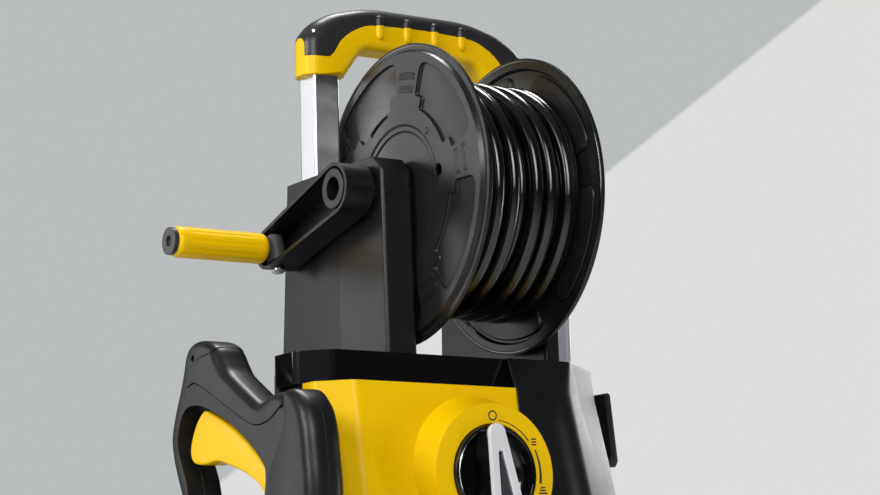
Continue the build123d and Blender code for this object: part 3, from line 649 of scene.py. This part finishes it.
def add_crank_grip():
    """The crank's yellow grip: shallow flutes that run out before its rounded ends."""
    low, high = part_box("crank_grip")
    length = (high[0] - low[0]) / MM
    radius = (high[2] - low[2]) / 2 / MM
    angles = [2 * math.pi * k / SLEEVE_AROUND for k in range(SLEEVE_AROUND)]
    grooves = [max(0.0, math.cos(GRIP_FLUTES * angle)) ** 3 for angle in angles]
    build = bmesh.new()
    rings = []
    for step in range(SLEEVE_ALONG + 1):
        height = length * step / SLEEVE_ALONG
        near_end = min(height, length - height)
        drop = SLEEVE_DROP * max(0.0, 1 - near_end / SLEEVE_ROUNDING) ** 2
        flute = FLUTE_DEPTH * max(0.0, min(1.0, (near_end - FLUTE_START) / FLUTE_RUN))
        rings.append(turned_ring(build, [radius - drop - flute * groove for groove in grooves], height))
    for height in (length, 0.0):
        rings.append(turned_ring(build, [SLEEVE_BORE] * SLEEVE_AROUND, height))
    join_rings(build, rings + rings[:1])
    grip = built("crank_grip_sleeve", build)
    soften(grip, 50)
    aim(grip, (low[0], (low[1] + high[1]) / 2, (low[2] + high[2]) / 2), (1, 0, 0))
    grip.data.materials.append(yellow)
    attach(grip, "crank_handle")
    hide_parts("crank_grip")


# ---- moulded forms
ROUNDING_SHARE = 0.49  # the most of a straight that the rounding of one corner takes
MERGE = 0.00002


def smooth_line(points, closed=False, steps=6):
    """Points of a smooth curve through the given points."""
    count = len(points)
    line = []
    for k in range(count if closed else count - 1):
        places = range(k - 1, k + 3)
        near = [points[j % count if closed else max(0, min(count - 1, j))] for j in places]
        for step in range(steps):
            t = step / steps
            line.append(tuple(0.5 * (2 * b + (c - a) * t + (2 * a - 5 * b + 4 * c - d) * t * t
                                     + (3 * b - a - 3 * c + d) * t ** 3) for a, b, c, d in zip(*near)))
    return line if closed else line + [points[-1]]


def rounded_line(points, steps=8):
    """Open line whose corners, as (x, y, radius), are rounded off."""
    line = [points[0][:2]]
    for before, (x, y, radius), after in zip(points, points[1:], points[2:]):
        corner = Vector((x, y))
        back, on = Vector(before[:2]) - corner, Vector(after[:2]) - corner
        reach = min(radius / math.tan(back.angle(on) / 2), ROUNDING_SHARE * back.length,
                    ROUNDING_SHARE * on.length)
        start, end = corner + back.normalized() * reach, corner + on.normalized() * reach
        for step in range(steps + 1):
            t = step / steps
            line.append(tuple((1 - t) ** 2 * start + 2 * t * (1 - t) * corner + t * t * end))
    return line + [points[-1][:2]]


def heading(points, k, closed=False):
    """Direction in which a line runs at one of its points."""
    if closed:
        before, after = points[k - 1], points[(k + 1) % len(points)]
    else:
        before, after = points[max(0, k - 1)], points[min(len(points) - 1, k + 1)]
    return Vector((after[0] - before[0], after[1] - before[1])).normalized()


def widened(points, distance):
    """Open line moved to its right by a distance."""
    line = []
    for k, point in enumerate(points):
        along = heading(points, k)
        line.append((point[0] + along.y * distance, point[1] - along.x * distance))
    return line


def slab(name, lines, low, high, place, closed=False, steps=5):
    """Thick plate; its lines are (points, rim radius), and a point's third number is a radius of its own."""
    corners = [point for points, radius in lines for point in points]
    turning = sum(a[0] * b[1] - b[0] * a[1] for a, b in zip(corners, corners[1:] + corners[:1]))
    side = 1 if turning > 0 else -1
    outline = []
    for points, radius in lines:
        for k, point in enumerate(points):
            along = heading(points, k, closed)
            outline.append((point, (-along.y * side, along.x * side), point[2] if len(point) > 2 else radius))
    angles = [math.pi / 2 * step / steps for step in range(steps + 1)]
    levels = [(low, 1, angle) for angle in angles] + [(high, -1, angle) for angle in angles[::-1]]
    build = bmesh.new()
    rings = []
    for base, sign, angle in levels:
        inset, rise = 1 - math.sin(angle), 1 - math.cos(angle)
        rings.append([build.verts.new([c * MM for c in place(point[0] + normal[0] * radius * inset,
                                                             point[1] + normal[1] * radius * inset,
                                                             base + sign * rise * radius)])
                      for point, normal, radius in outline])
    join_rings(build, rings)
    build.faces.new(rings[0][::-1])
    build.faces.new(rings[-1])
    bmesh.ops.remove_doubles(build, verts=build.verts, dist=MERGE)
    return built(name, build)


def carve(piece, tools, operation="DIFFERENCE"):
    """Cuts a piece by closed tools, or joins or crosses them with it."""
    for tool in tools:
        cut = piece.modifiers.new("cut", "BOOLEAN")
        cut.operation = operation
        cut.solver = "MANIFOLD"
        cut.object = tool
        bpy.context.view_layer.update()
        result = bpy.data.meshes.new_from_object(piece.evaluated_get(bpy.context.evaluated_depsgraph_get()))
        piece.modifiers.clear()
        result.name = piece.name
        piece.data = result
    return piece


def copy_of(piece, name):
    """Independent copy of a piece."""
    return add_object(name, piece.data.copy())


def discard(*pieces):
    """Removes scratch objects."""
    for piece in pieces:
        bpy.data.objects.remove(piece)


def dress(piece, material, body, replaced=(), angle=32):
    """Material, smooth faces with crisp edges, and the body that a piece rides on."""
    piece.data.materials.clear()
    piece.data.materials.append(material)
    for polygon in piece.data.polygons:
        polygon.material_index = 0
    soften(piece, angle)
    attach(piece, body)
    for name in replaced:
        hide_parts(name)


def facing(x, z, y):
    """Outline seen from the front: across, up, depth."""
    return (x, y, z)


def from_side(y, z, x):
    """Outline seen from the side: depth, up, across."""
    return (x, y, z)


def sideways(y, z, x):
    """Outline seen from the side: distance behind the reel axis, height from it, across."""
    return (x, reel_pos.y / MM + y, reel_pos.z / MM + z)


# ---- carrying grip
GRIP_LAP, GRIP_COLLAR, GRIP_RISE, GRIP_DEPTH = 7.3, 38.0, 27.0, 30.0
# the arch from its feet up, as (across from its own end, height from the top, rounding)
GRIP_OUTER = [(0, -66, 0), (0, -33, 18), (-11, -19.5, 30), (-29, -9, 60), (-63, 0, 150)]
GRIP_INNER = [(0, -66, 0), (-10, -52, 14), (-20, -39, 14)]
# the seam from the end, and its height in the middle
GRIP_SEAM = [(4, -50), (-19, -50), (-24, -48), (-28, -43), (-33, -35), (-40, -28.5), (-46, -24.5), (-58, -19),
             (-73, -17)]
SEAM_MIDDLE = -15.5
GRIP_RIM, ARCH_RIM, RIB_RIM = 12, 7, 2.6
FINGER_RIBS, RIB_PITCH, RIB_PROUD, RIB_DEPTH = 4, 28.2, 2.8, 9
RIB_OUTLINE = [(-3.6, -25), (-2.6, -28), (0, -29.4), (2.6, -28), (3.6, -25), (3.6, -12), (2.6, -9), (0, -7.8),
               (-2.6, -9), (-3.6, -12)]
# the tongue of the lower shell that runs up outside a collar
TONGUE_HALF, TONGUE_SHOULDER, TONGUE_FOOT = 8, -41, -80
TONGUE_OUT, TONGUE_IN = 4, 10


def add_carry_grip():
    """Two-piece moulded grip over the posts, with finger ribs and collars."""
    left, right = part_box("post_left"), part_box("post_right")
    middle = (left[0][0] + right[1][0]) / 2 / MM
    end = (right[1][0] - left[0][0]) / 2 / MM + GRIP_LAP
    inner = end - GRIP_COLLAR
    top = left[1][2] / MM + GRIP_RISE
    depth_middle = (left[0][1] + left[1][1]) / 2 / MM
    front_y, back_y = depth_middle - GRIP_DEPTH / 2, depth_middle + GRIP_DEPTH / 2

    def arch(edge, half):
        """Both halves of an arch as one line."""
        return rounded_line([(middle + edge + x, top + z, r) for x, z, r in half]
                            + [(middle - edge - x, top + z, r) for x, z, r in half[::-1]])

    blank = slab("grip_blank", [(arch(end, GRIP_OUTER), GRIP_RIM), (arch(inner, GRIP_INNER)[::-1], ARCH_RIM)],
                 front_y, back_y, facing)
    for number in range(FINGER_RIBS):
        x = middle + (number - (FINGER_RIBS - 1) / 2) * RIB_PITCH
        outline = smooth_line([(x + across, top + up) for across, up in RIB_OUTLINE], True, 3)
        rib = slab("rib", [(outline, RIB_RIM)], front_y - RIB_PROUD, front_y + RIB_DEPTH, facing, closed=True)
        carve(blank, [rib], "UNION")
        discard(rib)
    seam_half = [(end + x, z) for x, z in GRIP_SEAM] + [(0, SEAM_MIDDLE)]
    seam = smooth_line([(middle - x, top + z) for x, z in seam_half]
                       + [(middle + x, top + z) for x, z in seam_half[-2::-1]])
    far, high = end + 20, top + 12
    above = slab("above_seam", [(seam + [(middle + far, high), (middle - far, high)], 0)],
                 front_y - 12, back_y + 12, facing, steps=1)
    for outward in (1, -1):
        arc = [(depth_middle - TONGUE_HALF * math.cos(math.pi * k / 10),
                top + TONGUE_SHOULDER + TONGUE_HALF * math.sin(math.pi * k / 10)) for k in range(11)]
        feet = [(depth_middle + side * TONGUE_HALF, top + TONGUE_FOOT) for side in (1, -1)]
        edge_x = middle + outward * end
        sides = sorted((edge_x + TONGUE_OUT * outward, edge_x - TONGUE_IN * outward))
        tongue = slab("tongue", [([feet[0], *arc[::-1], feet[1]], 0)], *sides, from_side, steps=1)
        carve(above, [tongue])
        discard(tongue)
    cap = carve(copy_of(blank, "grip_cap"), [above], "INTERSECT")
    shell = carve(copy_of(blank, "grip_shell"), [above])
    discard(blank, above)
    dress(cap, grip_black, "handle", ["grip_top"])
    dress(shell, yellow, "handle", ["grip_lower"])


# ---- spray gun
# side outlines, as (behind the reel axis, height from it)
GUN_FRAME = [
    (-24, -316), (16, -313), (52, -302), (80, -283), (98, -260), (110, -237), (120, -215), (124.5, -199),
    (124, -187), (118, -171), (110, -155), (104, -141), (99, -127), (90, -119), (76, -117.5), (60, -121),
    (49, -127.5), (41, -138), (32, -148), (15, -159), (-8, -173), (-18, -178), (-28, -175.5),
    (-42, -172.5), (-56, -175), (-66, -185), (-75, -215), (-80, -250), (-76, -290), (-70, -330), (-34, -330),
]
GUN_BARREL = [  # with the rim's radius
    (-58, -176, 4), (-66, -172.5, 7), (-76, -176, 10), (-87, -187, 11), (-93.5, -204, 11), (-96.5, -225, 11),
    (-99, -250, 11), (-97, -290, 11), (-90, -326, 8), (-84, -330, 4), (-44, -330, 2), (-38, -326, 1),
    (-36, -290, 0.6), (-36, -241, 0.6), (-50, -216, 0.6), (-62, -197, 1), (-61, -184, 2),
]
GUN_LOOP = [
    (-31, -234), (-26, -223.7), (-8, -208.9), (10.4, -196.5), (29.3, -186.6), (48.5, -178.5),
    (68, -171.6), (81, -169.3), (92, -169.5), (100, -173), (106, -180), (110.7, -193), (109.4, -204),
    (103.8, -216), (98.2, -227), (92, -245), (78, -268), (52, -289), (16, -301), (-10, -303),
    (-22, -298), (-26, -280), (-27.5, -260),
]
SOFT_ABOVE = [(50, -126), (46, -108), (-10, -146), (-52, -156), (-54, -171)]
SOFT_SEAM = [
    (-54, -171), (-62, -179), (-44, -190.4), (-28.3, -194.6), (-12.5, -193.8), (6, -186.3), (27.5, -176),
    (55, -162.2), (72, -154), (83, -151), (92, -153), (94, -150), (90, -143), (82, -135.5), (68, -132),
    (56, -131), (50, -126),
]
TRIGGER = [
    (-24, -252), (-16, -245), (-7.2, -238.2), (11.3, -229.3), (32.9, -222.1), (56.3, -216), (75, -217),
    (92, -215), (98.5, -210), (100, -202.3), (95.7, -191.8), (88.3, -181.6), (77, -174), (65.3, -177),
    (40.3, -187.5), (18.6, -199), (-2.6, -212.5), (-24, -229), (-42, -240), (-46, -252), (-38, -262),
]
TRIGGER_SLOT = [
    (-58, -270), (-58, -236), (-34, -218), (-10, -202), (12, -187), (34, -173), (58, -159), (72, -157),
    (100, -172), (107, -190), (107, -200), (96, -222), (0, -262),
]
GUN_SURROUND = [(-400, -600), (400, -600), (400, 200), (-400, 200)]  # wider than the gun all round
GUN_SCREWS = [(84, -131), (-56, -184)]
SCREW_RADIUS, SCREW_DEPTH = 2.6, 4
FRAME_RIM, BARREL_RIM, SOFT_RIM, TRIGGER_RIM = 7, 11, 9.5, 2.2
BARREL_PROUD, SOFT_PROUD = 1, 0.7  # how far they stand out from the frame's sides
SOFT_SEAM_GAP = 0.7
TRIGGER_HALF, SLOT_HALF = 10, 10.5
CUT_PAST = 20  # how far the tools reach past the gun's sides


def gun_form(name, outline, low, high, rim=0):
    """Slab of a closed side outline; only a rounded rim needs more than one step."""
    return slab(name, [(outline, rim)], low, high, sideways, closed=True, steps=5 if rim else 1)


def add_gun():
    """Spray gun: a moulded frame round the trigger loop, a barrel and a soft grip."""
    low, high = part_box("gun_shell_left")[0][0] / MM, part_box("gun_shell_right")[1][0] / MM
    middle = (low + high) / 2
    through = low - CUT_PAST, high + CUT_PAST
    seam = smooth_line(SOFT_SEAM)
    body = gun_form("gun_frame", smooth_line(GUN_FRAME, True)[::-1], low, high, FRAME_RIM)
    barrel = gun_form("gun_barrel", smooth_line(GUN_BARREL, True)[::-1], low - BARREL_PROUD,
                      high + BARREL_PROUD, BARREL_RIM)
    loop = gun_form("gun_loop", smooth_line(GUN_LOOP, True)[::-1], *through)
    groove = gun_form("soft_groove", widened(seam, SOFT_SEAM_GAP) + SOFT_ABOVE, *through)
    slot = gun_form("trigger_slot", TRIGGER_SLOT[::-1], middle - SLOT_HALF, middle + SLOT_HALF)
    carve(body, [barrel], "UNION")
    carve(body, [loop, groove, slot])
    for y, z in GUN_SCREWS:
        hole = gun_form("screw", circle(SCREW_RADIUS, (y, z), 20)[::-1], low - CUT_PAST, low + SCREW_DEPTH)
        carve(body, [hole])
        discard(hole)

    soft = gun_form("gun_grip_cover", smooth_line(GUN_FRAME, True), low - SOFT_PROUD, high + SOFT_PROUD,
                    SOFT_RIM)
    seat = gun_form("soft_seat", seam + SOFT_ABOVE, *through)
    carve(soft, [seat], "INTERSECT")
    half = gun_form("half", GUN_SURROUND[::-1], middle, high + CUT_PAST)
    for side, operation in (("right", "INTERSECT"), ("left", "DIFFERENCE")):
        housing = carve(copy_of(body, f"gun_housing_{side}"), [half], operation)
        dress(housing, gun_black, "gun", [f"gun_shell_{side}"])
    dress(soft, gun_black, "gun", ["gun_soft_grip"])
    trigger = gun_form("trigger_lever", smooth_line(TRIGGER, True)[::-1], middle - TRIGGER_HALF,
                       middle + TRIGGER_HALF, TRIGGER_RIM)
    dress(trigger, yellow, "gun_trigger", ["trigger"])
    discard(body, barrel, loop, seat, groove, slot, half)


# ---- reel flanges
BEAD_RADIUS, BEAD_PLACE = 1.9, 5.2  # the bead's radius, and its depth behind the flange's face
ARC_SCALE = 1.69  # millimetres of arc for a degree, on a flange's pockets
RIM_SHARE = 0.94  # share of the flange's radius at which its rim begins
SPOKES, FIRST_SPOKE = 5, 100  # angles run from the rear upwards, in degrees
POCKET_START, POCKET_END = 9.5, 62.5  # degrees from a spoke
POCKET_INNER, POCKET_JOG, POCKET_OUTER = 72.5, 82.5, 111.0
JOG_WIDTH = 7  # degrees
POCKET_ROUND, JOG_ROUND = 9, 3.5
COLLAR = 1.6  # width of the raised wall round a pocket
RIDGES, RIDGE_SPREAD, RIDGE_WIDTH = (85.2, 88.4, 96.0, 99.2), 13.5, 1.9


def polar_outline(corners, step=2.5):
    """Closed outline from corners as (angle, radius, rounding), bent round the axis."""
    flat = rounded_line([(angle * ARC_SCALE, radius, rounding) for angle, radius, rounding in corners], 4)
    line = []
    for a, b in zip(flat, flat[1:]):
        pieces = max(1, math.ceil(math.dist(a, b) / step))
        for k in range(pieces):
            along = a[0] + (b[0] - a[0]) * k / pieces
            radius = a[1] + (b[1] - a[1]) * k / pieces
            angle = math.radians(along / ARC_SCALE)
            line.append((radius * math.cos(angle), radius * math.sin(angle)))
    return line


def pocket_outline(start, end, grow=0.0):
    """Outline of one pressed pocket of a flange, with its stepped inner corners."""
    wide = grow / ARC_SCALE
    start, end, middle = start - wide, end + wide, (start + end) / 2
    inner, jog, outer = POCKET_INNER - grow, POCKET_JOG - grow, POCKET_OUTER + grow
    jogs = [(end, jog), (end - JOG_WIDTH, jog), (end - JOG_WIDTH, inner), (start + JOG_WIDTH, inner),
            (start + JOG_WIDTH, jog), (start, jog)]
    return polar_outline([(middle, outer, 0), (end, outer, POCKET_ROUND),
                          *((*corner, JOG_ROUND) for corner in jogs),
                          (start, outer, POCKET_ROUND), (middle, outer, 0)])


def bar_outline(middle, spread_angle, radius, width, rounding=0.9):
    """Outline of a bent bar on a flange."""
    low, high = radius - width / 2, radius + width / 2
    start, end = middle - spread_angle / 2, middle + spread_angle / 2
    ends = [(end, high), (end, low), (start, low), (start, high)]
    return polar_outline([(middle, high, 0), *((*corner, rounding) for corner in ends), (middle, high, 0)])


def flange_face(side, inward):
    """Place in x of a flange's outer face."""
    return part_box(f"flange_{side}")[0 if inward > 0 else 1][0] / MM


def add_rim_bead(side, inward):
    """Rolled bead round a flange's rim."""
    middle = flange_radius - BEAD_RADIUS
    turns = [2 * math.pi * k / 12 for k in range(13)]
    profile = [(middle + BEAD_RADIUS * math.cos(turn), BEAD_RADIUS * math.sin(turn)) for turn in turns]
    bead = lathe(f"rim_bead_{side}", profile, 160)
    place = (flange_face(side, inward) + inward * BEAD_PLACE) * MM
    aim(bead, (place, reel_pos.y, reel_pos.z), (1, 0, 0))
    bead.data.materials.append(black_gloss)
    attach(bead, "reel")


def add_flange(side, inward):
    """Moulded reel flange: rolled rim, stepped dish, pressed pockets between ribbed spokes."""
    face = flange_face(side, inward)
    radius = flange_radius
    rim = RIM_SHARE * radius
    profile = [(12, 2), (51.2, 2), (52.7, 1), (56.2, 1), (58.2, 0), (rim, 0), (rim + 2, 3.5), (radius, 3.5),
               (radius, 6.5), (rim - 1, 6.5), (rim - 3, 3), (57.2, 3), (54.2, 5), (12, 5), (12, 2)]
    disc = lathe(f"flange_disc_{side}", profile, 144)
    disc.modifiers.clear()
    clean = bmesh.new()
    clean.from_mesh(disc.data)
    bmesh.ops.remove_doubles(clean, verts=clean.verts, dist=0.00001)
    bmesh.ops.recalc_face_normals(clean, faces=clean.faces)
    clean.to_mesh(disc.data)
    clean.free()
    aim(disc, (face * MM, reel_pos.y, reel_pos.z), (inward, 0, 0))

    def form(outline, near, far, rounding, operation):
        """Adds or cuts a form between two depths behind the flange's face."""
        ends = sorted((face + inward * near, face + inward * far))
        tool = slab("tool", [(outline, rounding)], *ends, sideways, closed=True)
        carve(disc, [tool], operation)
        discard(tool)

    for number in range(SPOKES):
        spoke = FIRST_SPOKE + 360 / SPOKES * number
        pocket = spoke + POCKET_START, spoke + POCKET_END
        form(pocket_outline(*pocket, COLLAR), 1.0, 5.5, 1.4, "UNION")
        form(pocket_outline(*pocket), -4, 2.5, 1.4, "DIFFERENCE")
        for ridge_radius in RIDGES:
            form(bar_outline(spoke, RIDGE_SPREAD, ridge_radius, RIDGE_WIDTH), -0.7, 1.4, 0.5, "UNION")
    # two sunk marks, a hole and a raised dot
    form(bar_outline(67, 24, 69, 4), -3, 1.9, 0.8, "DIFFERENCE")
    form(bar_outline(69, 8, 76, 7), -3, 1.9, 0.8, "DIFFERENCE")
    form(circle(5.5, (-58.7, 9.8), 28), -3, 12, 0, "DIFFERENCE")
    form(circle(2.8, (-43.4, 45.0), 24), -0.7, 1.5, 0.6, "UNION")
    dress(disc, flange_black, "reel", [f"flange_{side}"], 21)


# ---- corner panel and trim
SHELL_WALL = 3.5
SHELL_LEVELS = (150, 210, 280, 345, 400, 435, 470, 500, 530, 531, 545, 556)
# height, then the section's start, bend, corner and end as x, y; the x of the trim's edge and rear end
CORNER_SECTIONS = [
    (150, (25, -96, 122, -96, 162, -4, 127, 28, 154, 119)),
    (400, (25, -63, 88, -63, 168, -6, 160, 28, 150, 145)),
    (530, (25, -47.5, 72, -47.5, 156, 19, 150, 40, 106, 147)),
    (556, (28, -33, 88, -33, 154, 21, 150, 40, 99, 147)),
]
CORNER_BACK = 47.5  # where the trim meets the rear cover
PANEL_BEND, TRIM_BEND, TRIM_END_BEND = 60, 16, 6


def between(value, rows):
    """Linear interpolation in rows of (value, numbers)."""
    for (a, first), (b, second) in zip(rows, rows[1:]):
        if a <= value <= b:
            share = (value - a) / (b - a)
            return [x + (y - x) * share for x, y in zip(first, second)]
    return rows[-1][1]


def corner_lines(level):
    """Outer lines of the panel and of the trim at a height, seen from above."""
    fx, fy, ax, ay, bx, by, ex, ey, edge_x, rear_x = between(level, CORNER_SECTIONS)
    edge = (edge_x, ay + (by - ay) * (edge_x - ax) / (bx - ax))
    panel = rounded_line([(fx, fy, 0), (ax, ay, PANEL_BEND), (*edge, 0)], 12)
    trim = rounded_line([(*edge, 0), (bx, by, TRIM_BEND), (ex, ey, TRIM_END_BEND), (rear_x, CORNER_BACK, 0)],
                        10)
    return panel, trim


def corner_shell(name, lines):
    """Shell through outer lines at the shell levels, its wall inside them."""
    build = bmesh.new()
    rings = []
    for level, line in zip(SHELL_LEVELS, lines):
        around = line + widened(line, -SHELL_WALL)[::-1]
        rings.append([build.verts.new((x * MM, (reel_pos.y / MM + y) * MM, level * MM)) for x, y in around])
    join_rings(build, rings)
    for ring in (rings[0], rings[-1]):
        for k in range(len(ring) // 2 - 1):
            build.faces.new((ring[k], ring[k + 1], ring[-k - 2], ring[-k - 1]))
    return built(name, build)


def add_corner_shells():
    """Black panel and silver trim round the housing's right-hand front corner."""
    panel_lines, trim_lines = zip(*(corner_lines(level) for level in SHELL_LEVELS))
    panel = corner_shell("corner_panel", panel_lines)
    dress(panel, black_panel, "machine", ["right_panel"], 40)
    trim = corner_shell("corner_trim", trim_lines)
    dress(trim, silver, "machine", ["trim_right"], 40)


# ---- cable hooks
HOOK_ROOT = 130  # x at which a hook leaves the housing
HOOK_FRONT, HOOK_BACK, HOOK_RIM = 30, 66, 1.2


def add_hook(name, level, tip, upward):
    """Cable hook whose end turns up or down."""
    points = [(HOOK_ROOT, 0, 0), (tip - 3, 0, 2), (tip, 5, 2), (tip - 6, 64, 3), (tip - 12, 64, 3),
              (tip - 7, 8, 1.5), (HOOK_ROOT, 8, 0)]
    outline = rounded_line([(x, level + upward * rise, r) for x, rise, r in points], 4)
    front, back = (reel_pos.y / MM + depth for depth in (HOOK_FRONT, HOOK_BACK))
    hook = slab(f"hook_{name}", [(outline, HOOK_RIM)], front, back, facing, closed=True)
    dress(hook, gun_black, "machine", [f"cable_hook_{name}"])


# ---- scene
bpy.context.scene.view_settings.view_transform = "Standard"
add_camera()
add_world()
add_floor()
for lamp_entry in LAMPS:
    add_area_light(*lamp_entry)
dress_cad_nodes()
round_cad_nodes()
add_hose()
add_dial()
add_rim_bead("left", 1)
add_rim_bead("right", -1)
add_crank_grip()
add_carry_grip()
add_gun()
add_flange("left", 1)
add_flange("right", -1)
add_corner_shells()
add_hook("upper", 477, 185, 1)
add_hook("lower", 303, 201, -1)
